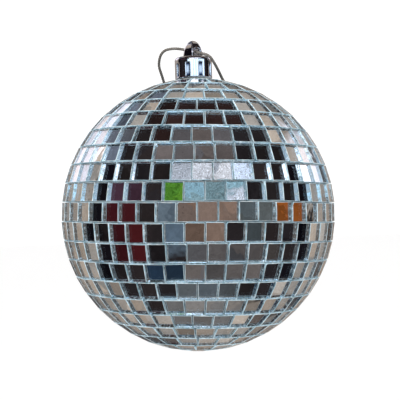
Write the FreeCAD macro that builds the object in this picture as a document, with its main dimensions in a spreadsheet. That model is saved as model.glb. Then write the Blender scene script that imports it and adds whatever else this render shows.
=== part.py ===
"""Mirror ball: a hollow plastic core covered with rows of square glass mirror tiles,
a chromed cap with a hanging eye, and a cord loop through the eye.

Millimetres. The origin is the centre of the hanging eye, +Z is up, and the ball's centre
hangs below it on the Z axis. The cord lies over the far side of the ball, towards +Y.
"""
import FreeCAD, Part
import math
import os

import Sketcher

Vector = FreeCAD.Vector
Rotation = FreeCAD.Rotation

# Driving dimensions. Heights are measured up from the ball's centre.
DIMENSIONS = {
    "ball_radius": 75.0,          # to the corners of the tiles
    "tile_size": 9.9,
    "tile_thickness": 2.6,
    "tile_gap": 0.18,
    "tile_width_limit": 10.3,     # the widest edge a tile is cut to
    "tile_pitch": 10.09,          # along a row, at the back of the tiles
    "pitch_place": 0.3,           # where it is met, from a tile's middle to its wide edge
    "rows_each_side": 10,
    "row_shift": 1.2,             # the middle row's latitude, degrees
    "row_lean": 1.9,              # of all the rows, from square to the cap, degrees
    "row_stagger": 0.62,          # each row's start round from the row below, in tiles
    "bottom_tile_size": 9.2,
    "adhesive_thickness": 0.5,
    "core_wall": 2.5,
    "core_clearance": 0.06,
    "lip_height": 4.0,
    "lip_wall": 1.2,
    "neck_radius": 7.6,
    "neck_bore_radius": 5.4,
    "neck_top": 83.0,
    "cap_radius": 10.2,
    "cap_wall": 2.0,
    "cap_base": 74.7,
    "cap_top": 86.6,
    "cap_roof": 2.2,
    "cap_shoulder_radius": 2.0,
    "glue_play": 0.05,
    "recess_count": 9,
    "recess_width": 2.1,
    "recess_depth": 0.9,
    "recess_drop": 3.7,
    "recess_rise": 0.9,
    "recess_turn": 23.0,
    "lug_width": 7.6,
    "lug_height": 9.1,
    "lug_turn": 40.0,
    "lug_edge_radius": 0.45,
    "eye_height": 89.5,
    "eye_radius": 2.2,
    "cord_diameter": 1.65,
    "knot_length": 7.0,
    "knot_width": 5.6,
}

# The cord's route, from the knot up the left leg, through the eye and down the right leg.
CORD_ROUTE = [
    (32.0, 71.2, -84.0),
    (25.0, 72.4, -73.6),
    (13.0, 72.4, -62.6),
    (1.2, 66.4, -48.4),
    (-9.4, 56.6, -35.6),
    (-15.6, 41.4, -25.0),
    (-16.4, 29.0, -16.2),
    (-18.6, 22.0, -10.2),
    (-19.9, 17.5, -4.2),
    (-17.4, 13.0, 2.7),
    (-10.8, 8.2, 3.6),
    (-4.6, 3.4, 0.9),
    (4.2, -3.1, -0.8),
    (8.9, -7.2, -2.3),
    (11.9, -3.0, -6.7),
    (13.6, 3.8, -9.4),
    (15.4, 11.0, -12.2),
    (18.2, 20.0, -14.8),
    (23.0, 32.4, -22.0),
    (28.0, 45.4, -33.2),
    (32.6, 56.4, -47.0),
    (34.8, 64.0, -60.8),
    (35.0, 68.6, -73.4),
    (33.4, 71.0, -84.0),
]
KNOT_CENTRE = (32.7, 71.6, -87.0)
TAIL_ROUTES = [
    [(31.7, 71.4, -88.0), (31.0, 71.6, -94.0), (31.4, 70.8, -98.6), (30.4, 70.4, -103.0)],
    [(33.7, 71.8, -88.0), (34.6, 72.0, -93.6), (35.6, 71.4, -98.0), (35.4, 70.6, -102.4)],
]


def make_sheet(doc):
    """The spreadsheet of driving dimensions; each alias names its cell."""
    sheet = doc.addObject("Spreadsheet::Sheet", "sizes")
    for line, (name, value) in enumerate(DIMENSIONS.items(), start=1):
        add_cell(sheet, line, name, value)
    doc.recompute()
    return sheet


def add_cell(sheet, line, name, value):
    sheet.set(f"A{line}", name)
    sheet.set(f"B{line}", repr(value))
    sheet.setAlias(f"B{line}", name)


def face_distance(size):
    """Distance from the ball's centre to a tile's face, so that its corners lie on the ball."""
    return math.sqrt(size.ball_radius**2 - size.tile_size**2 / 2)


def row_outlines(size):
    """Each row's outline, from the bottom of the ball to the top, and the side it is on."""
    shift = math.radians(size.row_shift)
    lower = climb(size, -shift, 0)
    upper = climb(size, shift, size.cap_radius + 2 * size.tile_gap)
    return [(outline, -1) for outline in reversed(lower[1:])] + [(outline, 1) for outline in upper]


def climb(size, latitude, hole):
    """Outlines of successive rows towards a pole that has a round hole of this radius."""
    back = face_distance(size) - size.tile_thickness
    half = size.tile_size / 2
    step = 2 * math.atan((half + size.tile_gap / 2) / back)
    rows = [tile_outline(size, latitude, back, half, hole)]
    for _ in range(int(size.rows_each_side)):
        latitude = next_latitude(latitude, step, back, half)
        rows.append(tile_outline(size, latitude, back, half, hole))
    return rows


def next_latitude(latitude, step, back, half):
    """One step on, plus the amount by which a straight wide edge's corners stand out."""
    following = latitude + step
    for _ in range(4):
        edge_radius = back * math.cos(following) + half * math.sin(following)
        corner = math.hypot(edge_radius, half) - edge_radius
        following = latitude + step + corner * math.sin(following) / back
    return following


def tile_outline(size, latitude, back, half, hole):
    """One tile's place and its edges: wide towards the equator, narrower towards the pole."""
    wide_radius = back * math.cos(latitude) + half * math.sin(latitude)
    rise = half
    if back * math.cos(latitude) - half * math.sin(latitude) < hole:
        rise = (back * math.cos(latitude) - hole) / math.sin(latitude)
    narrow_radius = back * math.cos(latitude) - rise * math.sin(latitude)
    middle_radius = (wide_radius + narrow_radius) / 2
    pitch_radius = middle_radius + size.pitch_place * (wide_radius - middle_radius)
    count = round(2 * math.pi * pitch_radius / size.tile_pitch)
    share = math.tan(math.pi / count)
    wide = min(size.tile_width_limit, 2 * wide_radius * share - size.tile_gap)
    narrow = min(size.tile_width_limit, 2 * narrow_radius * share - size.tile_gap)
    return {"latitude": math.degrees(latitude), "count": count, "back": back,
            "wide": wide, "narrow": narrow, "fall": half, "height": half + rise}


def origin_feature(body, role):
    return next(f for f in body.Origin.OriginFeatures if f.Role == role)


def new_body(doc, label):
    body = doc.addObject("PartDesign::Body", label)
    body.Label = label
    body.AllowCompound = True
    return body


def new_sketch(body, name, role):
    sketch = body.newObject("Sketcher::SketchObject", name)
    sketch.AttachmentSupport = (origin_feature(body, role), "")
    sketch.MapMode = "FlatFace"
    return sketch


def closed_outline(sketch, points):
    """Straight edges through the points, joined end to end. Returns the first edge's number."""
    first = sketch.GeometryCount
    total = len(points)
    for k in range(total):
        start = Vector(*points[k], 0)
        end = Vector(*points[(k + 1) % total], 0)
        sketch.addGeometry(Part.LineSegment(start, end))
    for k in range(total):
        following = first + (k + 1) % total
        sketch.addConstraint(Sketcher.Constraint("Coincident", first + k, 2, following, 1))
    return first


def dimension(sketch, name, expression, *constraint):
    """A named dimension of a sketch, bound to the sheet."""
    number = sketch.addConstraint(Sketcher.Constraint(*constraint))
    sketch.renameConstraint(number, name)
    sketch.setExpression(f"Constraints.{name}", expression)


def make_tile_row(doc, label, turn):
    """A ring of tiles: one trimmed tile, padded outwards and repeated round the ball's axis."""
    body = new_body(doc, label)
    sketch = new_sketch(body, label + "_outline", "YZ_Plane")
    sketch.AttachmentOffset = FreeCAD.Placement(Vector(0, 0, 0), Rotation(Vector(-1, 0, 0), 1))
    sketch.setExpression("AttachmentOffset.Rotation.Angle", f"sizes.{label}_latitude * 1 deg")
    sketch.setExpression(
        "AttachmentOffset.Base.z", f"sizes.{label}_back * cos(sizes.{label}_latitude * 1 deg)")
    sketch.setExpression(
        "AttachmentOffset.Base.y",
        f"sizes.{label}_back * sin(sizes.{label}_latitude * 1 deg) - sizes.eye_height")
    lower, upper, fall, height = 4.5, 4.0, 5.0, 10.0
    rise = height - fall
    edge = closed_outline(sketch, [(-lower, -fall), (lower, -fall), (upper, rise), (-upper, rise)])
    sketch.addConstraint(Sketcher.Constraint("Symmetric", edge, 1, edge, 2, -2))
    sketch.addConstraint(Sketcher.Constraint("Symmetric", edge + 2, 1, edge + 2, 2, -2))
    dimension(sketch, "lower_edge", f"sizes.{label}_lower", "DistanceX", edge, 1, edge, 2, 2 * lower)
    dimension(sketch, "upper_edge", f"sizes.{label}_upper", "DistanceX", edge + 2, 2, edge + 2, 1,
              2 * upper)
    dimension(sketch, "fall", f"sizes.{label}_fall", "DistanceY", edge, 1, -1, 1, fall)
    dimension(sketch, "height", f"sizes.{label}_height", "DistanceY", edge, 2, edge + 2, 1, height)
    pad = body.newObject("PartDesign::Pad", label + "_glass")
    pad.Profile = sketch
    pad.setExpression("Length", "sizes.tile_thickness")
    ring = body.newObject("PartDesign::PolarPattern", label + "_ring")
    ring.Originals = [pad]
    ring.Axis = (origin_feature(body, "Z_Axis"), [""])
    ring.Angle = 360
    ring.setExpression("Occurrences", f"sizes.{label}_count")
    body.Tip = ring
    body.Placement = leaning(doc.sizes, turn)
    return body


def row_names(rows_each_side):
    """Row labels from the bottom of the ball to the top."""
    lower = [f"lower_tiles_{k:02d}" for k in range(rows_each_side, 0, -1)]
    upper = [f"upper_tiles_{k:02d}" for k in range(1, rows_each_side + 1)]
    return lower + ["equator_tiles"] + upper


def add_row_cells(sheet, name, outline, side):
    """A row's own cells. side is 1 from the middle row up, -1 below it."""
    lower, upper = outline["wide"], outline["narrow"]
    fall = outline["fall"]
    if side < 0:
        lower, upper = upper, lower
        fall = outline["height"] - fall
    values = {"latitude": side * outline["latitude"], "count": outline["count"],
              "back": outline["back"], "lower": lower, "upper": upper,
              "fall": fall, "height": outline["height"]}
    for key, value in values.items():
        line = 1 + len(sheet.getNonEmptyCells()) // 2
        add_cell(sheet, line, f"{name}_{key}", value)


def make_tile_rows(doc, sheet):
    """Every row of tiles, from the bottom of the ball to the top."""
    names = row_names(int(sheet.rows_each_side))
    for name, (outline, side) in zip(names, row_outlines(sheet)):
        add_row_cells(sheet, name, outline, side)
    doc.recompute()
    bodies = []
    for place, name in enumerate(names):
        turn = place * sheet.row_stagger * 360 / getattr(sheet, name + "_count")
        bodies.append(make_tile_row(doc, name, turn))
    return bodies


def leaning(size, turn):
    """Placement of a row turned on the rows' own axis, which leans from the cap's."""
    centre = Vector(0, 0, -size.eye_height)
    lean = FreeCAD.Placement(centre, Rotation(Vector(0, 1, 0), size.row_lean))
    to_centre = FreeCAD.Placement(-centre, Rotation(Vector(0, 0, 1), turn))
    return lean * to_centre


def make_bottom_tile(doc):
    """The single square tile that closes the rows at the bottom pole."""
    body = new_body(doc, "bottom_tile")
    sketch = new_sketch(body, "bottom_tile_outline", "XY_Plane")
    sketch.setExpression(
        "AttachmentOffset.Base.z",
        "-sizes.eye_height - sqrt(sizes.ball_radius ^ 2 - sizes.tile_size ^ 2 / 2)")
    half = 4.0
    edge = closed_outline(sketch, [(-half, -half), (half, -half), (half, half), (-half, half)])
    sketch.addConstraint(Sketcher.Constraint("Symmetric", edge, 1, edge, 2, -2))
    sketch.addConstraint(Sketcher.Constraint("Symmetric", edge, 2, edge + 1, 2, -1))
    sketch.addConstraint(Sketcher.Constraint("Horizontal", edge + 2))
    sketch.addConstraint(Sketcher.Constraint("Vertical", edge + 3))
    size = "sizes.bottom_tile_size"
    dimension(sketch, "width", size, "DistanceX", edge, 1, edge, 2, 2 * half)
    dimension(sketch, "depth", size, "DistanceY", edge + 1, 1, edge + 1, 2, 2 * half)
    pad = body.newObject("PartDesign::Pad", "bottom_tile_glass")
    pad.Profile = sketch
    pad.setExpression("Length", "sizes.tile_thickness")
    body.Placement = leaning(doc.sizes, 0)
    return body


def half_ball(doc, name, radius, upper):
    """A solid half ball about the ball's centre."""
    half = doc.addObject("Part::Sphere", name)
    half.setExpression("Radius", radius)
    half.Angle1 = 0 if upper else -90
    half.Angle2 = 90 if upper else 0
    half.setExpression("Placement.Base.z", "-sizes.eye_height")
    return half


def post(doc, name, radius, low, high):
    """An upright cylinder on the ball's axis between two heights."""
    cylinder = doc.addObject("Part::Cylinder", name)
    cylinder.setExpression("Radius", radius)
    cylinder.setExpression("Height", f"({high}) - ({low})")
    cylinder.setExpression("Placement.Base.z", f"({low}) - sizes.eye_height")
    return cylinder


def join(doc, kind, name, base, tool):
    result = doc.addObject(kind, name)
    result.Base = base
    result.Tool = tool
    result.Label = name
    return result


BACK = "(sqrt(sizes.ball_radius ^ 2 - sizes.tile_size ^ 2 / 2) - sizes.tile_thickness)"
ADHESIVE_OUTSIDE = f"({BACK} - sizes.core_clearance)"
CORE_OUTSIDE = f"({ADHESIVE_OUTSIDE} - sizes.adhesive_thickness)"
CORE_INSIDE = f"({CORE_OUTSIDE} - sizes.core_wall)"
LIP_OUTSIDE = f"({CORE_INSIDE} + sizes.lip_wall)"


def make_core_lower(doc):
    """Lower half shell, with a thin lip that stands up inside the upper half."""
    outside = half_ball(doc, "core_lower_outside", CORE_OUTSIDE, False)
    lip = post(doc, "core_lower_lip", LIP_OUTSIDE, "-sizes.lip_height", "sizes.lip_height")
    solid = join(doc, "Part::Fuse", "core_lower_solid", outside, lip)
    inside = half_ball(doc, "core_lower_inside", CORE_INSIDE, False)
    opening = post(doc, "core_lower_opening", CORE_INSIDE, "0", "2 * sizes.lip_height")
    space = join(doc, "Part::Fuse", "core_lower_space", inside, opening)
    return join(doc, "Part::Cut", "core_lower_half", solid, space)


def make_core_upper(doc):
    """Upper half shell with the neck for the cap, rebated for the lower half's lip."""
    outside = half_ball(doc, "core_upper_outside", CORE_OUTSIDE, True)
    neck = post(doc, "core_neck", "sizes.neck_radius", "sizes.neck_top / 2", "sizes.neck_top")
    solid = join(doc, "Part::Fuse", "core_upper_solid", outside, neck)
    inside = half_ball(doc, "core_upper_inside", CORE_INSIDE, True)
    rebate = post(doc, "core_upper_rebate", LIP_OUTSIDE, "0", "sizes.lip_height + sizes.glue_play")
    hollow = join(doc, "Part::Fuse", "core_upper_hollow", inside, rebate)
    bore = post(doc, "core_neck_bore", "sizes.neck_bore_radius", "sizes.neck_top / 2",
                "sizes.neck_top + 1")
    space = join(doc, "Part::Fuse", "core_upper_space", hollow, bore)
    return join(doc, "Part::Cut", "core_upper_half", solid, space)


def make_adhesive(doc, upper):
    """The thin glued backing between the core and the tiles on one half."""
    name = "adhesive_backing_upper" if upper else "adhesive_backing_lower"
    outside = half_ball(doc, name + "_outside", ADHESIVE_OUTSIDE, upper)
    inside = half_ball(doc, name + "_inside", CORE_OUTSIDE, upper)
    if not upper:
        return join(doc, "Part::Cut", name, outside, inside)
    skirt = post(doc, name + "_opening", "sizes.neck_radius + sizes.glue_play", "0",
                 "sizes.cap_top")
    space = join(doc, "Part::Fuse", name + "_space", inside, skirt)
    return join(doc, "Part::Cut", name, outside, space)


def make_cap_glue(doc):
    """The ring of glue between the neck and the cap's skirt."""
    cap_inside = "(sizes.cap_radius - sizes.cap_wall - sizes.glue_play)"
    low = "(sizes.cap_base + sizes.glue_play)"
    high = "(sizes.neck_top - 1)"
    outside = post(doc, "cap_glue_outside", cap_inside, low, high)
    inside = post(doc, "cap_glue_inside", "sizes.neck_radius + sizes.glue_play",
                  "sizes.cap_base - 1", "sizes.neck_top")
    return join(doc, "Part::Cut", "cap_glue_ring", outside, inside)


def cap_section(body):
    """The cup's half section: skirt and roof, to be turned about the axis."""
    sketch = new_sketch(body, "cap_section", "XZ_Plane")
    inner, outer = 8.0, 10.0
    base, roof, top = -16.0, -5.0, -3.0
    points = [(inner, base), (outer, base), (outer, top), (0, top), (0, roof), (inner, roof)]
    edge = closed_outline(sketch, points)
    for k in (0, 2, 4):
        sketch.addConstraint(Sketcher.Constraint("Horizontal", edge + k))
    for k in (1, 5):
        sketch.addConstraint(Sketcher.Constraint("Vertical", edge + k))
    sketch.addConstraint(Sketcher.Constraint("PointOnObject", edge + 3, 1, -2))
    sketch.addConstraint(Sketcher.Constraint("PointOnObject", edge + 3, 2, -2))
    dimension(sketch, "outer", "sizes.cap_radius", "DistanceX", -1, 1, edge, 2, outer)
    dimension(sketch, "wall", "sizes.cap_wall", "DistanceX", edge, 1, edge, 2, outer - inner)
    dimension(sketch, "top", "sizes.eye_height - sizes.cap_top", "DistanceY", edge + 2, 1, -1, 1, -top)
    dimension(sketch, "roof", "sizes.cap_roof", "DistanceY", edge + 4, 1, edge + 2, 2, top - roof)
    dimension(sketch, "skirt", "sizes.cap_top - sizes.cap_base",
              "DistanceY", edge, 2, edge + 1, 2, top - base)
    return sketch


def add_cap_recesses(doc, body):
    """Blind upright recesses round the skirt."""
    sketch = new_sketch(body, "recess_outline", "XZ_Plane")
    sketch.AttachmentOffset = FreeCAD.Placement(Vector(0, 0, 0), Rotation(Vector(0, 1, 0), 1))
    floor = "(sizes.cap_radius - sizes.recess_depth)"
    turn = "sizes.recess_turn * 1 deg"
    sketch.setExpression("AttachmentOffset.Rotation.Angle", turn)
    sketch.setExpression("AttachmentOffset.Base.x", f"{floor} * sin({turn})")
    sketch.setExpression("AttachmentOffset.Base.z", f"{floor} * cos({turn})")
    half, low, high = 1.0, -13.0, -8.0
    edge = closed_outline(sketch, [(-half, low), (half, low), (half, high), (-half, high)])
    sketch.addConstraint(Sketcher.Constraint("Symmetric", edge, 1, edge, 2, -2))
    sketch.addConstraint(Sketcher.Constraint("Symmetric", edge + 2, 1, edge + 2, 2, -2))
    dimension(sketch, "width", "sizes.recess_width", "DistanceX", edge, 1, edge, 2, 2 * half)
    sketch.addConstraint(Sketcher.Constraint("Vertical", edge + 1))
    dimension(sketch, "high", "sizes.eye_height - sizes.cap_top + sizes.recess_drop",
              "DistanceY", edge + 2, 1, -1, 1, -high)
    dimension(sketch, "low", "sizes.eye_height - sizes.cap_base - sizes.recess_rise",
              "DistanceY", edge, 1, -1, 1, -low)
    doc.recompute()
    recess = body.newObject("PartDesign::Pocket", "cap_recess")
    recess.Profile = sketch
    recess.setExpression("Length", "2 * sizes.recess_depth")
    recess.Reversed = True
    pattern = body.newObject("PartDesign::PolarPattern", "cap_recesses")
    pattern.Originals = [recess]
    pattern.Axis = (origin_feature(body, "Z_Axis"), [""])
    pattern.Angle = 360
    pattern.setExpression("Occurrences", "sizes.recess_count")
    body.Tip = pattern
    return pattern


def arched_bar(doc, name, turn):
    """A long bar with the lug's section, half an ellipse from the cap's roof up to the peak."""
    section = doc.addObject("Part::Ellipse", name + "_section")
    section.setExpression("MajorRadius", "sizes.lug_height")
    section.setExpression("MinorRadius", "sizes.lug_width / 2")
    section.Placement = FreeCAD.Placement(Vector(0, 0, 0), turn)
    section.setExpression("Placement.Base.z", "sizes.cap_top - sizes.eye_height")
    bar = doc.addObject("Part::Extrusion", name)
    bar.Base = section
    bar.DirMode = "Normal"
    bar.Symmetric = True
    bar.Solid = True
    bar.setExpression("LengthFwd", "2 * sizes.lug_width")
    return bar


def make_lug(doc):
    """The pointed lug: two arched bars crossing at right angles, pierced by the eye."""
    upright_facing_y = Rotation(Vector(1, 1, 1), 240)
    upright_facing_x = Rotation(Vector(0, 1, 0), -90)
    along_eye = arched_bar(doc, "lug_along_eye", upright_facing_y)
    across_eye = arched_bar(doc, "lug_across_eye", upright_facing_x)
    crossing = join(doc, "Part::Common", "lug_crossing", along_eye, across_eye)
    above = doc.addObject("Part::Box", "above_roof")
    for side in ("Length", "Width", "Height"):
        above.setExpression(side, "2 * sizes.cap_radius")
    above.setExpression("Placement.Base.x", "-sizes.cap_radius")
    above.setExpression("Placement.Base.y", "-sizes.cap_radius")
    above.setExpression("Placement.Base.z", "sizes.cap_top - sizes.eye_height - sizes.cap_roof / 2")
    peak = join(doc, "Part::Common", "lug_peak", crossing, above)
    eye = doc.addObject("Part::Cylinder", "eye")
    eye.setExpression("Radius", "sizes.eye_radius")
    eye.setExpression("Height", "2 * sizes.lug_width")
    eye.Placement = FreeCAD.Placement(Vector(0, 0, 0), Rotation(Vector(1, 0, 0), -90))
    eye.setExpression("Placement.Base.y", "-sizes.lug_width")
    lug = join(doc, "Part::Cut", "lug", peak, eye)
    lug.Placement = FreeCAD.Placement(Vector(0, 0, 0), Rotation(Vector(0, 0, 1), 1))
    lug.setExpression("Placement.Rotation.Angle", "sizes.lug_turn * 1 deg")
    return lug


def make_cap_cup(doc):
    """The round cap without its lug: cup, rounded shoulder and recesses."""
    body = new_body(doc, "cap_cup")
    section = cap_section(body)
    cup = body.newObject("PartDesign::Revolution", "cap_turned")
    cup.Profile = section
    cup.ReferenceAxis = (section, ["V_Axis"])
    cup.Angle = 360
    doc.recompute()
    shoulder = body.newObject("PartDesign::Fillet", "cap_shoulder")
    shoulder.Base = (cup, [outer_roof_edge(cup.Shape, doc.sizes)])
    shoulder.setExpression("Radius", "sizes.cap_shoulder_radius")
    doc.recompute()
    add_cap_recesses(doc, body)
    return body


def outer_roof_edge(shape, size):
    """Name of the circle where the skirt meets the roof."""
    for number, edge in enumerate(shape.Edges, start=1):
        box = edge.BoundBox
        at_top = abs(box.ZMin - (size.cap_top - size.eye_height)) < 0.01
        if at_top and abs(box.XMax - size.cap_radius) < 0.01:
            return f"Edge{number}"
    raise ValueError("the cap has no outer roof edge")


def make_cap(doc):
    """The chromed cap with its hanging lug, one moulding with softened edges."""
    size = doc.sizes
    moulding = join(doc, "Part::Fuse", "cap_moulding", make_cap_cup(doc), make_lug(doc))
    doc.recompute()
    cap = doc.addObject("Part::Fillet", "hanging_cap")
    cap.Label = "hanging_cap"
    cap.Base = moulding
    radius = size.lug_edge_radius
    cap.Edges = [(number, radius, radius) for number in eye_rim_edges(moulding.Shape, size)]
    return cap


def eye_rim_edges(shape, size):
    """Numbers of the edges of the eye's two rims, where the cord bears."""
    facing = Rotation(Vector(0, 0, 1), -size.lug_turn)
    numbers = []
    for number, edge in enumerate(shape.Edges, start=1):
        points = [facing.multVec(vertex) for vertex in edge.discretize(9)]
        on_bore = all(abs(math.hypot(p.x, p.z) - size.eye_radius) < 0.01 for p in points)
        if on_bore and max(p.y for p in points) - min(p.y for p in points) < size.lug_width / 2:
            numbers.append(number)
    return numbers


def rounded_path(points):
    """Straight runs joined by tangent arcs, each as large as its two runs allow."""
    corners = [Vector(*point) for point in points]
    edges = []
    radii = []
    start = corners[0]
    for before, corner, after in zip(corners, corners[1:], corners[2:]):
        back = before - corner
        ahead = after - corner
        half_turn = (math.pi - back.getAngle(ahead)) / 2
        setback = 0.45 * min(back.Length, ahead.Length)
        radii.append(setback / math.tan(half_turn))
        arc_start = corner + back.normalize() * setback
        arc_end = corner + ahead.normalize() * setback
        inward = (back + ahead).normalize()
        depth = radii[-1] * (1 / math.cos(half_turn) - 1)
        edges.append(Part.LineSegment(start, arc_start).toShape())
        edges.append(Part.Arc(arc_start, corner + inward * depth, arc_end).toShape())
        start = arc_end
    edges.append(Part.LineSegment(start, corners[-1]).toShape())
    return Part.Wire(edges), radii


def tube(points, diameter, name):
    """A round tube along a route; prints its length, volume and bend radii."""
    path, radii = rounded_path(points)
    start = Vector(*points[0])
    heading = Vector(*points[1]) - start
    section = Part.Wire(Part.Circle(start, heading, diameter / 2).toShape())
    shape = path.makePipeShell([section], True, False)
    expected = math.pi * diameter**2 / 4 * path.Length
    print(name, "length", round(path.Length, 1), "volume", round(shape.Volume, 1),
          "expected", round(expected, 1))
    print(name, "radii", [round(radius, 1) for radius in radii])
    return shape


def make_cord(doc):
    """The cord, from the knot through the eye and back to the knot."""
    cord = doc.addObject("Part::Feature", "hanging_cord")
    cord.Label = "hanging_cord"
    cord.Shape = tube(CORD_ROUTE, doc.sizes.cord_diameter, "hanging_cord")
    cord.Placement = FreeCAD.Placement()
    return cord


def make_knot(doc):
    """The overhand knot that closes the loop, with its two short tails."""
    size = doc.sizes
    knot = doc.addObject("Part::Feature", "cord_knot")
    knot.Label = "cord_knot"
    bead = Part.makeSphere(size.knot_width / 2)
    stretch = FreeCAD.Matrix()
    stretch.scale(1, 1, size.knot_length / size.knot_width)
    bead = bead.transformGeometry(stretch)
    bead.translate(Vector(*KNOT_CENTRE))
    shape = bead
    for number, route in enumerate(TAIL_ROUTES, start=1):
        shape = shape.fuse(tube(route, size.cord_diameter, f"tail {number}"))
    knot.Shape = shape.removeSplitter()
    knot.Placement = FreeCAD.Placement()
    return knot


def check_document(doc, pieces):
    """Stop before anything is written if any feature failed or any piece isn't sound."""
    for thing in doc.Objects:
        if "Invalid" in thing.State or "Error" in thing.State:
            raise ValueError(f"{thing.Name} failed: {thing.State}")
    for piece in pieces:
        shape = piece.Shape
        if shape.isNull() or not shape.isValid() or not shape.Solids:
            raise ValueError(f"{piece.Label} isn't a sound solid")
        print(f"{piece.Label}: {len(shape.Solids)} solids, {shape.Volume:.1f} mm3")


def main():
    doc = FreeCAD.newDocument("mirror_ball")
    sheet = make_sheet(doc)
    pieces = make_tile_rows(doc, sheet)
    pieces.append(make_bottom_tile(doc))
    pieces.append(make_core_lower(doc))
    pieces.append(make_core_upper(doc))
    pieces.append(make_adhesive(doc, False))
    pieces.append(make_adhesive(doc, True))
    pieces.append(make_cap_glue(doc))
    pieces.append(make_cap(doc))
    pieces.append(make_cord(doc))
    pieces.append(make_knot(doc))
    doc.recompute()
    check_document(doc, pieces)
    os.makedirs("parts", exist_ok=True)
    for piece in pieces:
        piece.Shape.exportStep(f"parts/{piece.Label}.step")


main()
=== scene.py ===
"""Mirror ball: glass mirror tiles, a chromed cap and a cord loop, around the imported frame.

Metres, in the frame's own axes: the origin is the centre of the hanging eye, +Z is up.
"""
import math
import random

import bmesh
import bpy
import numpy as np
from mathutils import Matrix, Vector


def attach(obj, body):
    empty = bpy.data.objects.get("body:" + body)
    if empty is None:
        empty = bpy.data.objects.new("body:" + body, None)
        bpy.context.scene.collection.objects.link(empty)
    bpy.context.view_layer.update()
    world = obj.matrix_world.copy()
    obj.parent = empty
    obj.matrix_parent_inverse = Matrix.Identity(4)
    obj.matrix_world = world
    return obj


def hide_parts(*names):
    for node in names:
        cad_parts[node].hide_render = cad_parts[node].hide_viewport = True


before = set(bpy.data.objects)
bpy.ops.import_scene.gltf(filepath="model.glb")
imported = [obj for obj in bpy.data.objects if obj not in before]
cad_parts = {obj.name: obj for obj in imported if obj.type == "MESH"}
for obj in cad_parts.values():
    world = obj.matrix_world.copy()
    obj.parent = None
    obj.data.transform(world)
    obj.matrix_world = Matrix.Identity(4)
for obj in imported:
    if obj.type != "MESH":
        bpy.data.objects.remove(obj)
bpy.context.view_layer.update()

MM = 0.001
BALL_CENTRE = Vector((0, 0, -89.5)) * MM
BALL_RADIUS = 75.0 * MM
FLOOR_HEIGHT = -0.8
SAME_POINT = 0.02 * MM
CORD_DIAMETER = 1.65 * MM
CORD_STEP = 0.3 * MM
CORD_LAY = 4.6 * MM
STRANDS = 3
STRAND_SHARE = 0.68
STRAND_SIDES = 10
ROWS = sorted(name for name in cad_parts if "_tiles" in name or name == "bottom_tile")

# The cord's route in millimetres, from the knot up the left leg, through the eye and back.
CORD_ROUTE = [
    (32.0, 71.2, -84.0),
    (25.0, 72.4, -73.6),
    (13.0, 72.4, -62.6),
    (1.2, 66.4, -48.4),
    (-9.4, 56.6, -35.6),
    (-15.6, 41.4, -25.0),
    (-16.4, 29.0, -16.2),
    (-18.0, 22.0, -10.2),
    (-19.9, 17.5, -4.2),
    (-17.4, 13.0, 2.7),
    (-10.8, 8.2, 3.5),
    (-4.6, 3.4, 1.9),
    (4.2, -3.1, -1.1),
    (8.9, -7.2, -2.8),
    (11.9, -3.0, -7.5),
    (13.6, 3.8, -9.9),
    (15.2, 11.0, -12.6),
    (17.1, 20.0, -15.2),
    (23.0, 32.4, -22.0),
    (28.0, 45.4, -33.2),
    (32.6, 56.4, -47.0),
    (34.8, 64.0, -60.8),
    (35.0, 68.6, -73.4),
    (33.4, 71.0, -84.0),
]
KNOT_CENTRE = (32.7, 71.6, -87.0)
TAIL_ROUTES = [
    [(31.7, 71.4, -88.0), (31.0, 71.6, -94.0), (31.4, 70.8, -98.6), (30.4, 70.4, -103.0)],
    [(33.7, 71.8, -88.0), (34.6, 72.0, -93.6), (35.6, 71.4, -98.0), (35.4, 70.6, -102.4)],
]

# The made-up room that the mirrors reflect, besides its plain walls: what stands there, the
# azimuth of its middle (0 towards the camera, + to the right), its elevation, its width and
# height in degrees, and its colour as seen on a screen.
ROOM = [
    ("dark_wall", 2, 0, 212, 148, (0.16, 0.14, 0.145)),
    ("roof", 0, 90, 360, 57, (0.19, 0.135, 0.13)),
    ("ceiling", 6, 58, 100, 30, (0.42, 0.39, 0.39)),
    ("floor_behind", 0, -88, 360, 40, (0.46, 0.44, 0.43)),
    ("left_doorway", -98, 10, 18, 110, (0.07, 0.06, 0.08)),
    ("right_doorway", 100, -10, 18, 70, (0.07, 0.06, 0.08)),
    ("curtain", -64, -12.5, 38, 34, (0.275, 0.10, 0.115)),
    ("slate_wall", -25, -12, 22, 36, (0.34, 0.39, 0.44)),
    ("cupboard", 8, -8, 44, 28, (0.46, 0.38, 0.34)),
    ("grey_armchair", 48, -10, 30, 36, (0.31, 0.33, 0.34)),
    ("orange_lampshade", 82, 0.5, 28, 9, (0.50, 0.28, 0.13)),
    ("rug", 30, -38, 90, 30, (0.37, 0.35, 0.35)),
    ("blue_cloth", -42, -46, 44, 18, (0.15, 0.21, 0.28)),
    ("mat", 6, -68, 80, 16, (0.36, 0.38, 0.40)),
    ("window", 16, 36, 84, 12, (0.92, 0.94, 1.0)),
    ("low_window", 22, 19.9, 84, 5.4, (0.52, 0.64, 0.69)),
    ("plant", -26, 19, 14, 11, (0.35, 0.55, 0.19)),
    ("mauve_hanging", -70, 20, 34, 13, (0.30, 0.20, 0.25)),
    ("tall_window", 4, 26, 60, 8, (1.5, 1.46, 1.5)),
    ("white_blind", 4, 12.4, 76, 9.6, (0.84, 0.85, 0.90)),
    ("horizon_light", 18, 8.2, 106, 5.4, (1.06, 1.16, 1.24)),
    ("left_window", -139, 24, 42, 23, (1.10, 1.05, 1.08)),
    ("right_window", 130, 23, 36, 22, (1.0, 0.97, 1.0)),
    ("high_shelf", -133, 44, 66, 16, (0.40, 0.41, 0.45)),
    ("back_left_post", -168, -10, 8, 90, (0.36, 0.33, 0.32)),
    ("back_right_post", 146, -10, 8, 90, (0.36, 0.33, 0.32)),
]
WALL_COLOUR = (0.66, 0.61, 0.57)
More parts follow.
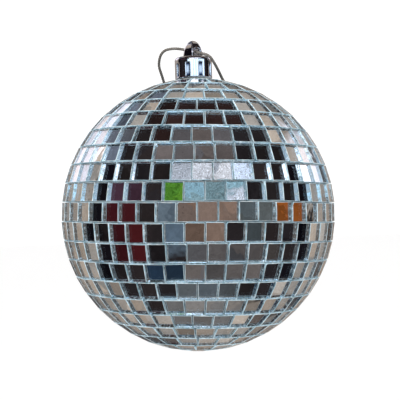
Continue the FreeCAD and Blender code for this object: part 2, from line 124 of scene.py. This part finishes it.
# The net curtain over its windows: azimuth, elevation, width and height in degrees.
NET_CURTAIN = (14, 29, 96, 28)
FULL_TURN = 360
# How soft the room's outlines are in degrees, and how far they ripple.
OUTLINE_SOFTNESS = 0.3
RIPPLE = 0.03
STUDIO_BRIGHTNESS = 1.12

# How a hand-cut tile strays from its CAD block: least and most, or a spread either way.
SHRINK_ACROSS = (0.0, 0.022)
SHRINK_UP = (0.0, 0.02)
NICK = (0.06 * MM, 0.35 * MM)
LARGE_NICK = (0.6 * MM, 1.3 * MM)
LARGE_NICK_SHARE = 0.10
SIDE_DENT = (0.0, 0.07 * MM)
SLIDE = 0.10 * MM
SKEW_DEGREES = 0.5
TILT_DEGREES = 0.35
TILT_LIMIT = 0.09 * MM
CORNER_CUT = 0.36
FACE_SINK = 0.10 * MM
CHAMFER = (0.05 * MM, 0.15 * MM)
CHAMFER_STEEPNESS = 0.7
BACK_BEVEL_WIDTH = 0.05 * MM
BACK_BEVEL_DEPTH = 0.02 * MM
SLANT_UP = (0.04, 0.08)
SLANT_ACROSS = 0.02
BACK_GAP = 0.22 * MM
ROW_SAG = 0.28 * MM
# The order of a tile's materials.
GLASS, SILVER, CUT_EDGE, RIM = range(4)
# The places along a side where it may be dented, as shares of its length.
DENT_PLACES = (0.3, 0.5, 0.7)

# The cap's recesses, where the chrome gets painted shade: distances from its axis, and heights.
RECESS_FLOOR = 9.75 * MM
CAP_SKIRT = 10.1 * MM
CAP_SHOULDER = (-6.5 * MM, -6.0 * MM)
RECESS_MIDDLE = -10.2 * MM
RECESS_FADE = (1.2 * MM, 2.8 * MM)


def linear(colour):
    """A colour as seen on a screen, turned into light."""
    return tuple(c / 12.92 if c < 0.04 else ((c + 0.055) / 1.055) ** 2.4 for c in colour)


# ---------------------------------------------------------------- camera and surroundings

def make_camera():
    """A long lens level with the ball, as far off as nine and a half of its radii."""
    camera = bpy.data.cameras.new("camera")
    camera.lens = 116.5
    camera.sensor_width = 36.0
    camera.shift_x = 0.0045
    camera.shift_y = 0.0365
    camera.clip_start = 0.01
    seen = bpy.data.objects.new("camera", camera)
    bpy.context.scene.collection.objects.link(seen)
    distance = 9.5 * BALL_RADIUS
    elevation = math.radians(0.2)
    roll = math.radians(1.87)
    offset = Vector((0, -math.cos(elevation), math.sin(elevation))) * distance
    seen.location = BALL_CENTRE + offset
    facing = (-offset).to_track_quat("-Z", "Y").to_matrix()
    seen.rotation_euler = (facing @ Matrix.Rotation(-roll, 3, "Z")).to_euler()
    bpy.context.scene.camera = seen


class Nodes:
    """A short way to add and join shader nodes."""

    def __init__(self, tree):
        self.tree = tree
        self.tree.nodes.clear()

    def add(self, kind, **settings):
        node = self.tree.nodes.new(kind)
        for name, value in settings.items():
            setattr(node, name, value)
        return node

    def put(self, socket, value):
        """Join an output to a socket, or set the socket's own value."""
        if isinstance(value, bpy.types.NodeSocket):
            self.tree.links.new(value, socket)
        elif value is not None:
            socket.default_value = value

    def math(self, operation, *values):
        node = self.add("ShaderNodeMath", operation=operation)
        for socket, value in zip(node.inputs, values):
            self.put(socket, value)
        return node.outputs[0]

    def mix(self, factor, first, second, blend="MIX"):
        node = self.add("ShaderNodeMix", data_type="RGBA", blend_type=blend)
        self.put(node.inputs[0], factor)
        self.put(node.inputs[6], first if not isinstance(first, tuple) else (*first, 1))
        self.put(node.inputs[7], second if not isinstance(second, tuple) else (*second, 1))
        return node.outputs[2]

    def ramp(self, value, low, high, from_low=0.0, from_high=1.0):
        node = self.add("ShaderNodeMapRange", clamp=True)
        for socket, number in zip(node.inputs, (value, from_low, from_high, low, high)):
            self.put(socket, number)
        return node.outputs[0]

    def noise(self, where, scale, detail=3.0, roughness=0.5):
        node = self.add("ShaderNodeTexNoise")
        self.put(node.inputs["Vector"], where)
        node.inputs["Scale"].default_value = scale
        node.inputs["Detail"].default_value = detail
        node.inputs["Roughness"].default_value = roughness
        return node.outputs["Fac"]


def band(nodes, angle, middle, width):
    """1 within half a width of the middle angle, 0 outside, with a soft edge. All in degrees."""
    away = nodes.math("ABSOLUTE", nodes.math("SUBTRACT", angle, middle))
    return nodes.ramp(away, 1.0, 0.0, width / 2 - OUTLINE_SOFTNESS, width / 2 + OUTLINE_SOFTNESS)


def patch(nodes, azimuth, elevation, place):
    """1 within a patch of the room, given by its azimuth, elevation, width and height."""
    middle, height, width, tall = place
    inside = band(nodes, elevation, height, tall)
    if width < FULL_TURN:
        inside = nodes.math("MULTIPLY", inside, band(nodes, azimuth, middle, width))
    return inside


def room_directions(nodes, where):
    """The azimuth and elevation that a ray looks along, in degrees, with a slight ripple."""
    wobble = nodes.add("ShaderNodeVectorMath", operation="MULTIPLY_ADD")
    ripple = nodes.add("ShaderNodeTexNoise")
    ripple.inputs["Scale"].default_value = 6.0
    nodes.put(ripple.inputs["Vector"], where)
    nodes.put(wobble.inputs[0], ripple.outputs["Color"])
    wobble.inputs[1].default_value = (RIPPLE, RIPPLE, RIPPLE)
    nodes.put(wobble.inputs[2], where)
    parts = nodes.add("ShaderNodeSeparateXYZ")
    nodes.put(parts.inputs[0], wobble.outputs[0])
    x, y, z = (nodes.math("SUBTRACT", part, RIPPLE / 2) for part in parts.outputs)
    azimuth = nodes.math("DEGREES", nodes.math("ARCTAN2", x, nodes.math("MULTIPLY", y, -1.0)))
    return azimuth, nodes.math("DEGREES", nodes.math("ARCSINE", z))


def room_shades(nodes, where, net):
    """What breaks up the room's plain features: mottling, clutter, grain and the net's threads."""
    mottle = nodes.ramp(nodes.noise(where, 7.0, 4.0, 0.6), 0.6, 1.35, 0.34, 0.66)
    clutter = nodes.add("ShaderNodeTexVoronoi")
    clutter.inputs["Scale"].default_value = 13.0
    nodes.put(clutter.inputs["Vector"], where)
    things = nodes.add("ShaderNodeSeparateColor")
    nodes.put(things.inputs[0], clutter.outputs["Color"])
    thing_shade = nodes.ramp(things.outputs[0], 0.72, 1.22)
    grain = nodes.ramp(nodes.noise(where, 420.0, 2.0), 0.86, 1.12, 0.3, 0.7)
    threads = nodes.ramp(nodes.noise(where, 1300.0, 3.0, 0.7), 0.35, 1.65, 0.36, 0.64)
    netted = nodes.math("ADD", 1.0, nodes.math("MULTIPLY", net,
                                               nodes.math("SUBTRACT", threads, 1.0)))
    shades = nodes.math("MULTIPLY", nodes.math("MULTIPLY", mottle, thing_shade), grain)
    patchy = nodes.math("MULTIPLY", shades, netted)
    warmth = nodes.ramp(things.outputs[1], -0.07, 0.07)
    warmer = nodes.math("MULTIPLY", patchy, nodes.math("ADD", warmth, 1.0))
    cooler = nodes.math("MULTIPLY", patchy, nodes.math("SUBTRACT", 1.0, warmth))
    tinted = nodes.add("ShaderNodeCombineColor")
    for socket, shade in zip(tinted.inputs, (warmer, patchy, cooler)):
        nodes.put(socket, shade)
    return tinted.outputs[0]


def make_world():
    """Plain white studio light, with a room that only mirrors and glass show."""
    world = bpy.data.worlds.new("studio")
    world.use_nodes = True
    world.cycles.sampling_method = "NONE"
    bpy.context.scene.world = world
    nodes = Nodes(world.node_tree)
    where = nodes.add("ShaderNodeTexCoord").outputs["Generated"]
    azimuth, elevation = room_directions(nodes, where)
    colour = linear(WALL_COLOUR)
    for _, *place, seen in ROOM:
        colour = nodes.mix(patch(nodes, azimuth, elevation, place), colour, linear(seen))
    net = patch(nodes, azimuth, elevation, NET_CURTAIN)
    room = nodes.mix(1.0, colour, room_shades(nodes, where, net), "MULTIPLY")
    room_light = nodes.add("ShaderNodeBackground")
    nodes.put(room_light.inputs["Color"], room)
    studio_light = nodes.add("ShaderNodeBackground")
    studio_light.inputs["Color"].default_value = (1.0, 1.0, 1.0, 1.0)
    studio_light.inputs["Strength"].default_value = STUDIO_BRIGHTNESS
    path = nodes.add("ShaderNodeLightPath")
    sharp = nodes.math("MAXIMUM", path.outputs["Is Glossy Ray"],
                       path.outputs["Is Transmission Ray"])
    undiffused = nodes.math("LESS_THAN", path.outputs["Diffuse Depth"], 0.5)
    mirrored = nodes.math("MULTIPLY", sharp, undiffused)
    either = nodes.add("ShaderNodeMixShader")
    nodes.put(either.inputs[0], mirrored)
    nodes.put(either.inputs[1], studio_light.outputs[0])
    nodes.put(either.inputs[2], room_light.outputs[0])
    output = nodes.add("ShaderNodeOutputWorld")
    nodes.put(output.inputs["Surface"], either.outputs[0])


def make_softbox():
    """One soft light above and to the left, which mirrors don't show."""
    light = bpy.data.lights.new("softbox", "AREA")
    light.size = 0.7
    light.energy = 9.0
    softbox = bpy.data.objects.new("softbox", light)
    bpy.context.scene.collection.objects.link(softbox)
    softbox.location = BALL_CENTRE + Vector((-0.35, -0.75, 0.95))
    softbox.rotation_euler = (softbox.location - BALL_CENTRE).to_track_quat("Z", "Y").to_euler()
    softbox.visible_glossy = False
    softbox.visible_transmission = False
    softbox.visible_camera = False


def make_floor():
    """A wide pale floor, well below the hanging ball. Mirrors show the room's floor instead."""
    bpy.ops.mesh.primitive_plane_add(size=60, location=(0, 0, FLOOR_HEIGHT))
    floor = bpy.context.object
    floor.name = "floor"
    floor.visible_glossy = False
    floor.visible_transmission = False
    floor.data.materials.append(matte_material("floor_pale", (0.985, 0.985, 0.985), 40.0, 0.001))


# ---------------------------------------------------------------------------- materials

def new_material(name):
    """A material, and its empty node tree."""
    material = bpy.data.materials.new(name)
    material.use_nodes = True
    return material, Nodes(material.node_tree)


def finish_material(nodes, shader):
    """Join the shader to the material's surface."""
    output = nodes.add("ShaderNodeOutputMaterial")
    nodes.put(output.inputs["Surface"], shader.outputs[0])


def bumped(nodes, height, distance):
    """The surface's normal, roughened by a height pattern."""
    bump = nodes.add("ShaderNodeBump")
    bump.inputs["Distance"].default_value = distance
    nodes.put(bump.inputs["Height"], height)
    return bump.outputs["Normal"]


def matte_material(name, colour, scale, depth, roughness=0.75):
    """A plain surface with slight mottling and grain."""
    material, nodes = new_material(name)
    where = nodes.add("ShaderNodeTexCoord").outputs["Object"]
    grain = nodes.noise(where, scale)
    shader = nodes.add("ShaderNodeBsdfPrincipled")
    darker = tuple(c * (1 - 12 * depth) for c in colour)
    nodes.put(shader.inputs["Base Color"], nodes.mix(grain, darker, colour))
    shader.inputs["Roughness"].default_value = roughness
    nodes.put(shader.inputs["Normal"], bumped(nodes, grain, depth * MM))
    finish_material(nodes, shader)
    return material


def silver_material():
    """The silvered back of a tile, faintly uneven and specked with lost silver."""
    material, nodes = new_material("tile_silver")
    where = nodes.add("ShaderNodeTexCoord").outputs["Object"]
    shader = nodes.add("ShaderNodeBsdfPrincipled")
    shader.inputs["Metallic"].default_value = 1.0
    shader.inputs["Roughness"].default_value = 0.0
    tarnish = nodes.ramp(nodes.noise(where, 900.0, 4.0), 0.0, 1.0, 0.66, 0.74)
    nodes.put(shader.inputs["Base Color"],
              nodes.mix(tarnish, (0.91, 0.94, 0.97), (0.55, 0.60, 0.62)))
    nodes.put(shader.inputs["Normal"], bumped(nodes, nodes.noise(where, 160.0, 1.0), 0.012 * MM))
    finish_material(nodes, shader)
    return material


def glass_material():
    """The tile's clear glass, seen through its polished front."""
    material, nodes = new_material("tile_glass")
    shader = nodes.add("ShaderNodeBsdfPrincipled")
    shader.inputs["Base Color"].default_value = (0.97, 1.0, 1.0, 1)
    shader.inputs["Roughness"].default_value = 0.0
    shader.inputs["IOR"].default_value = 1.5
    shader.inputs["Transmission Weight"].default_value = 1.0
    finish_material(nodes, shader)
    return material


def cut_edge_material():
    """The snapped sides of a tile: pale blue-green with white splinters that carry a faint painted
    glow. From inside the glass they throw light back as a mirror does, apart from the splinters."""
    material, nodes = new_material("tile_cut_edge")
    where = nodes.add("ShaderNodeTexCoord").outputs["Object"]
    inside = nodes.add("ShaderNodeNewGeometry").outputs["Backfacing"]
    broken = nodes.noise(where, 700.0, 4.0, 0.7)
    patches = nodes.noise(where, 120.0, 2.0)
    glowing_splinters = nodes.ramp(broken, 0.0, 0.7, 0.50, 0.64)
    clean_inside = nodes.math("MULTIPLY", inside, nodes.math("SUBTRACT", 1.0, glowing_splinters))
    shader = nodes.add("ShaderNodeBsdfPrincipled")
    teal = nodes.mix(nodes.ramp(patches, 0.0, 1.0, 0.40, 0.60),
                     (0.22, 0.38, 0.45), (0.60, 0.76, 0.83))
    plain = nodes.mix(glowing_splinters, teal, (0.93, 0.97, 1.0))
    nodes.put(shader.inputs["Base Color"], nodes.mix(clean_inside, plain, (0.68, 0.86, 0.95)))
    # Painted glow: the splinters give off a faint blue-white light of their own, standing in for
    # light that glass edges carry from their neighbours.
    shader.inputs["Emission Color"].default_value = (0.72, 0.90, 1.0, 1)
    nodes.put(shader.inputs["Emission Strength"], nodes.math("MULTIPLY", glowing_splinters, 0.25))
    nodes.put(shader.inputs["Metallic"], clean_inside)
    rough, smooth = nodes.ramp(broken, 0.15, 0.6), nodes.ramp(patches, 0.02, 0.2)
    nodes.put(shader.inputs["Roughness"], nodes.mix(clean_inside, rough, smooth))
    bump = nodes.add("ShaderNodeBump")
    bump.inputs["Distance"].default_value = 0.35 * MM
    nodes.put(bump.inputs["Strength"], nodes.ramp(clean_inside, 1.0, 0.05))
    nodes.put(bump.inputs["Height"], broken)
    nodes.put(shader.inputs["Normal"], bump.outputs["Normal"])
    finish_material(nodes, shader)
    return material


def rim_material():
    """The bruised glass along a tile's front edges, pale blue with white patches painted on as
    glints.
    """
    material, nodes = new_material("tile_rim")
    where = nodes.add("ShaderNodeTexCoord").outputs["Object"]
    bruises_and_glints = nodes.noise(where, 420.0, 3.0, 0.7)
    shader = nodes.add("ShaderNodeBsdfPrincipled")
    # Painted highlight: the white patches are glints coloured into the rim wherever the noise is
    # high, whatever the light.
    nodes.put(shader.inputs["Base Color"],
              nodes.mix(nodes.ramp(bruises_and_glints, 0.0, 1.0, 0.42, 0.58),
                        (0.52, 0.72, 0.82), (0.97, 1.0, 1.0)))
    nodes.put(shader.inputs["Roughness"], nodes.ramp(bruises_and_glints, 0.08, 0.35))
    nodes.put(shader.inputs["Normal"], bumped(nodes, bruises_and_glints, 0.1 * MM))
    finish_material(nodes, shader)
    return material


def chrome_material():
    """Bright chrome over moulded plastic: soft ridges, faint waves, a faint dusty mottle, and
    painted shade darkening the recesses.
    """
    material, nodes = new_material("cap_chrome_plate")
    where = nodes.add("ShaderNodeTexCoord").outputs["Object"]
    parts = nodes.add("ShaderNodeSeparateXYZ")
    nodes.put(parts.inputs[0], where)
    x, y, z = parts.outputs
    squares = nodes.math("ADD", nodes.math("MULTIPLY", x, x), nodes.math("MULTIPLY", y, y))
    axis_distance = nodes.math("SQRT", squares)
    # Painted shade: inside the recesses the chrome is coloured near-black navy, darkest towards
    # their top and bottom ends.
    sunk = nodes.ramp(axis_distance, 1.0, 0.0, RECESS_FLOOR, CAP_SKIRT)
    below_shoulder = nodes.ramp(z, 1.0, 0.0, *CAP_SHOULDER)
    from_middle = nodes.math("ABSOLUTE", nodes.math("ADD", z, -RECESS_MIDDLE))
    shade_towards_end = nodes.ramp(from_middle, 0.35, 1.0, *RECESS_FADE)
    painted_recess_shade = nodes.math("MULTIPLY", nodes.math("MULTIPLY", sunk, below_shoulder), shade_towards_end)
    dust = nodes.noise(where, 1500.0, 5.0)
    plated = nodes.mix(dust, (0.78, 0.84, 0.95), (0.93, 0.95, 0.99))
    shader = nodes.add("ShaderNodeBsdfPrincipled")
    # Painted shade: the recess mask turns the chrome near-black navy.
    nodes.put(shader.inputs["Base Color"], nodes.mix(painted_recess_shade, plated, (0.03, 0.05, 0.11)))
    shader.inputs["Metallic"].default_value = 1.0
    nodes.put(shader.inputs["Roughness"], nodes.ramp(dust, 0.03, 0.09, 0.4, 0.7))
    waves = nodes.add("ShaderNodeBump")
    waves.inputs["Distance"].default_value = 0.012 * MM
    nodes.put(waves.inputs["Height"], nodes.noise(where, 220.0, 2.0))
    ridge = nodes.add("ShaderNodeBevel", samples=8)
    ridge.inputs["Radius"].default_value = 1.0 * MM
    nodes.put(waves.inputs["Normal"], ridge.outputs[0])
    nodes.put(shader.inputs["Normal"], waves.outputs["Normal"])
    finish_material(nodes, shader)
    return material


def yarn_material():
    """Grey-brown metallic yarn, with fine fibres and a soft glint."""
    material, nodes = new_material("cord_yarn_grey")
    where = nodes.add("ShaderNodeTexCoord").outputs["Object"]
    fibres = nodes.noise(where, 2600.0, 5.0, 0.7)
    shade = nodes.noise(where, 500.0, 2.0)
    shader = nodes.add("ShaderNodeBsdfPrincipled")
    base = nodes.mix(shade, (0.13, 0.115, 0.10), (0.34, 0.31, 0.28))
    nodes.put(shader.inputs["Base Color"],
              nodes.mix(nodes.ramp(fibres, 0.0, 1.0, 0.55, 0.7), base, (0.62, 0.60, 0.56)))
    shader.inputs["Metallic"].default_value = 0.35
    shader.inputs["Roughness"].default_value = 0.5
    nodes.put(shader.inputs["Normal"], bumped(nodes, fibres, 0.12 * MM))
    finish_material(nodes, shader)
    return material


# -------------------------------------------------------------------------------- tiles

def split_tiles(node):
    """The corner points of each tile in a row, as one list a tile, in a settled order."""
    mesh = bmesh.new()
    mesh.from_mesh(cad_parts[node].data)
    bmesh.ops.remove_doubles(mesh, verts=mesh.verts, dist=SAME_POINT)
    grouped = set()
    tiles = []
    for start in mesh.verts:
        if start in grouped:
            continue
        grouped.add(start)
        group = [start]
        for vertex in group:
            for edge in vertex.link_edges:
                other = edge.other_vert(vertex)
                if other not in grouped:
                    grouped.add(other)
                    group.append(other)
        tiles.append([vertex.co.copy() for vertex in group])
    mesh.free()
    return sorted(tiles, key=lambda points: tuple(round(c, 5) for c in sum(points, Vector())))


def tile_frame(points):
    """A tile's middle, its axes across, up and outward, its thickness, and its face's corners."""
    outer = sorted(points, key=lambda p: (p - BALL_CENTRE).length)[4:]
    inner = sorted(points, key=lambda p: (p - BALL_CENTRE).length)[:4]
    middle = sum(outer, Vector()) / 4
    outward = (middle - sum(inner, Vector()) / 4).normalized()
    up = Vector((0, 0, 1)) - outward * outward.z
    faces_the_pole = up.length < 0.2
    if faces_the_pole:
        up = outer[0] - outer[1]
        up -= outward * up.dot(outward)
    up.normalize()
    across = up.cross(outward)
    thickness = (middle - sum(inner, Vector()) / 4).length
    flat = [((p - middle).dot(across), (p - middle).dot(up)) for p in outer]
    flat.sort(key=lambda q: math.atan2(q[1], q[0]))
    return middle, across, up, outward, thickness, flat


def cut_outline(corners, chance):
    """The outline of a snapped tile: nicked corners and slightly uneven sides."""
    outline = []
    for k, corner in enumerate(corners):
        here = Vector(corner)
        before = (Vector(corners[k - 1]) - here).normalized()
        after = (Vector(corners[(k + 1) % 4]) - here).normalized()
        nick = chance.uniform(*NICK)
        if chance.random() < LARGE_NICK_SHARE:
            nick = chance.uniform(*LARGE_NICK)
        middle = here + (before + after) * nick * CORNER_CUT
        outline += [here + before * nick, middle, here + after * nick]
        span = (Vector(corners[(k + 1) % 4]) - here).length
        for share in DENT_PLACES:
            dent = chance.uniform(*SIDE_DENT)
            inward = Vector((-after.y, after.x))
            outline.append(here + after * span * share + inward * dent)
    return outline


def row_sag(place):
    """How far a hand-laid row strays up or down at a place on the ball."""
    angle = math.atan2(place.x, -place.y)
    height = (place.z - BALL_CENTRE.z) / BALL_RADIUS
    strays = math.sin(3 * angle + 2.1 * height + 0.6) + 0.7 * math.sin(5 * angle - 3.0 * height)
    return ROW_SAG * strays * (1 - height**2)


def add_tile(mesh, points, chance):
    """One glass tile: polished front, chamfered rim, snapped sides and silvered back."""
    middle, across, up, outward, thickness, corners = tile_frame(points)
    narrower = 1 - chance.uniform(*SHRINK_ACROSS)
    shorter = 1 - chance.uniform(*SHRINK_UP)
    slide = chance.uniform(-SLIDE, SLIDE)
    skew = math.radians(chance.gauss(0, SKEW_DEGREES))
    cut = Matrix.Rotation(skew, 2) @ Matrix(((narrower, 0), (0, shorter)))
    outline = cut_outline([cut @ Vector(corner) for corner in corners], chance)
    middle = middle + across * slide + up * row_sag(middle)
    tilt_across = math.tan(math.radians(chance.gauss(0, TILT_DEGREES)))
    tilt_up = math.tan(math.radians(chance.gauss(0, TILT_DEGREES)))
    chamfer = chance.uniform(*CHAMFER)
    slant_up = chance.uniform(*SLANT_UP)
    slant_across = chance.uniform(-SLANT_ACROSS, SLANT_ACROSS)

    def place(point, inset, depth):
        scale = 1 - inset / point.length
        u, v = point.x * scale, point.y * scale
        lean = max(-TILT_LIMIT, min(TILT_LIMIT, u * tilt_across + v * tilt_up))
        u += slant_across * depth
        v += slant_up * depth
        return middle + across * u + up * v + outward * (lean - FACE_SINK - depth)

    deep = thickness - BACK_GAP
    levels = [(chamfer, 0.0), (0.0, chamfer * CHAMFER_STEEPNESS), (0.0, deep),
              (BACK_BEVEL_WIDTH, deep + BACK_BEVEL_DEPTH)]
    rings = [[mesh.verts.new(place(point, inset, depth)) for point in outline]
             for inset, depth in levels]
    front = mesh.faces.new(rings[0])
    front.material_index = GLASS
    back = mesh.faces.new(rings[-1][::-1])
    back.material_index = SILVER
    for level, (nearer, deeper) in enumerate(zip(rings, rings[1:])):
        for k in range(len(outline)):
            following = (k + 1) % len(outline)
            side = mesh.faces.new((nearer[k], deeper[k], deeper[following], nearer[following]))
            side.material_index = RIM if level == 0 else CUT_EDGE


def make_row(node, materials, seed):
    """A row of tiles as one piece that stands for its CAD node."""
    chance = random.Random(seed)
    mesh = bmesh.new()
    for points in split_tiles(node):
        add_tile(mesh, points, chance)
    data = bpy.data.meshes.new(node + "_glass")
    mesh.to_mesh(data)
    mesh.free()
    for material in materials:
        data.materials.append(material)
    row = bpy.data.objects.new(node + "_glass", data)
    bpy.context.scene.collection.objects.link(row)
    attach(row, "ball")
    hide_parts(node)


# --------------------------------------------------------------------------------- cord

def spline_curve(name, points):
    """A smooth curve with these control points."""
    curve = bpy.data.curves.new(name, "CURVE")
    curve.dimensions = "3D"
    curve.resolution_u = 24
    spline = curve.splines.new("NURBS")
    spline.points.add(len(points) - 1)
    for point, place in zip(spline.points, points):
        point.co = (*(c * MM for c in place), 1.0)
    spline.order_u = 3
    spline.use_endpoint_u = True
    return curve


def spline_line(name, points, step):
    """Points along the curve, a step apart."""
    holder = bpy.data.objects.new(name, spline_curve(name, points))
    bpy.context.scene.collection.objects.link(holder)
    bpy.context.view_layer.update()
    smooth = holder.evaluated_get(bpy.context.evaluated_depsgraph_get())
    data = bpy.data.meshes.new_from_object(smooth)
    line = np.array([vertex.co for vertex in data.vertices], float)
    bpy.data.objects.remove(holder)
    along = np.concatenate([[0], np.cumsum(np.linalg.norm(np.diff(line, axis=0), axis=1))])
    count = max(4, round(along[-1] / step))
    places = np.linspace(0, along[-1], count + 1)
    return np.stack([np.interp(places, along, line[:, axis]) for axis in range(3)], axis=1)


def carried_frames(line):
    """Headings along a line, and two directions square to them that don't twist."""
    heading = np.gradient(line, axis=0)
    heading /= np.linalg.norm(heading, axis=1)[:, None]
    side = np.zeros_like(line)
    start = np.cross(heading[0], (0, 0, 1.0))
    if np.linalg.norm(start) < 0.1:
        start = np.cross(heading[0], (1.0, 0, 0))
    side[0] = start / np.linalg.norm(start)
    for k in range(1, len(line)):
        carried = side[k - 1] - heading[k] * side[k - 1].dot(heading[k])
        side[k] = carried / np.linalg.norm(carried)
    return heading, side, np.cross(heading, side)


def strand_rope(name, lines, material):
    """Twisted strands along one or more lines, as one mesh of closed tubes."""
    reach = CORD_DIAMETER / 2
    strand_radius = reach * STRAND_SHARE
    circle = [2 * math.pi * k / STRAND_SIDES for k in range(STRAND_SIDES)]
    vertices, faces = [], []
    for line in lines:
        heading, side, other = carried_frames(line)
        gaps = np.linalg.norm(np.diff(line, axis=0), axis=1)
        along = np.concatenate([[0], np.cumsum(gaps)])
        for strand in range(STRANDS):
            turn = 2 * math.pi * (along / CORD_LAY + strand / STRANDS)
            out = side * np.cos(turn)[:, None] + other * np.sin(turn)[:, None]
            centre = line + out * (reach - strand_radius)
            round_out = np.cross(heading, out)
            first = len(vertices)
            for k in range(len(line)):
                for angle in circle:
                    spoke = out[k] * math.cos(angle) + round_out[k] * math.sin(angle)
                    vertices.append(tuple(centre[k] + spoke * strand_radius))
            for k in range(len(line) - 1):
                for c in range(STRAND_SIDES):
                    a = first + k * STRAND_SIDES + c
                    b = first + k * STRAND_SIDES + (c + 1) % STRAND_SIDES
                    faces.append((a, b, b + STRAND_SIDES, a + STRAND_SIDES))
            last = first + (len(line) - 1) * STRAND_SIDES
            faces.append(tuple(first + c for c in reversed(range(STRAND_SIDES))))
            faces.append(tuple(last + c for c in range(STRAND_SIDES)))
    data = bpy.data.meshes.new(name)
    data.from_pydata(vertices, [], faces)
    data.polygons.foreach_set("use_smooth", [len(f) == 4 for f in faces])
    data.materials.append(material)
    rope = bpy.data.objects.new(name, data)
    bpy.context.scene.collection.objects.link(rope)
    return rope


def knot_line():
    """The path of an overhand knot, drawn tight about the knot's centre."""
    centre = np.array(KNOT_CENTRE) * MM
    turns = np.linspace(0, 2 * math.pi, 97)
    tight, lobes = 0.92 * MM, 1.55
    wide, deep, tall = 0.72, 0.80, 0.95
    x = tight * (np.sin(turns) + lobes * np.sin(2 * turns)) * wide
    z = tight * (np.cos(turns) - lobes * np.cos(2 * turns)) * tall
    y = -tight * np.sin(3 * turns) * deep
    return np.stack([centre[0] + x, centre[1] + y, centre[2] + z], axis=1)


def make_cord(material):
    """The looped cord and its knot with two tails."""
    line = spline_line("cord_line", CORD_ROUTE, CORD_STEP)
    cord = strand_rope("twisted_cord", [line], material)
    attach(cord, "loop")
    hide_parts("hanging_cord")
    tails = [spline_line("tail_line", route, CORD_STEP) for route in TAIL_ROUTES]
    knot = strand_rope("knot_and_tails", [knot_line(), *tails], material)
    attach(knot, "loop")
    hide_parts("cord_knot")


# ------------------------------------------------------------------------ carried-over CAD

def dress(node, material):
    """Give a CAD node that still shows its material."""
    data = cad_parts[node].data
    data.materials.clear()
    data.materials.append(material)


make_camera()
make_world()
make_softbox()
make_floor()
make_cord(yarn_material())

tile_materials = [glass_material(), silver_material(), cut_edge_material(), rim_material()]
for seed, row_node in enumerate(ROWS):
    make_row(row_node, tile_materials, seed)

backing = matte_material("backing_silver_grey", (0.66, 0.76, 0.80), 400.0, 0.02, 0.5)
dress("adhesive_backing_lower", backing)
dress("adhesive_backing_upper", backing)
core = matte_material("core_plastic_white", (0.78, 0.77, 0.74), 300.0, 0.01)
dress("core_lower_half", core)
dress("core_upper_half", core)
dress("cap_glue_ring", matte_material("glue_clear_yellow", (0.72, 0.66, 0.50), 300.0, 0.02, 0.35))
dress("hanging_cap", chrome_material())
bpy.context.scene.view_settings.view_transform = "Standard"
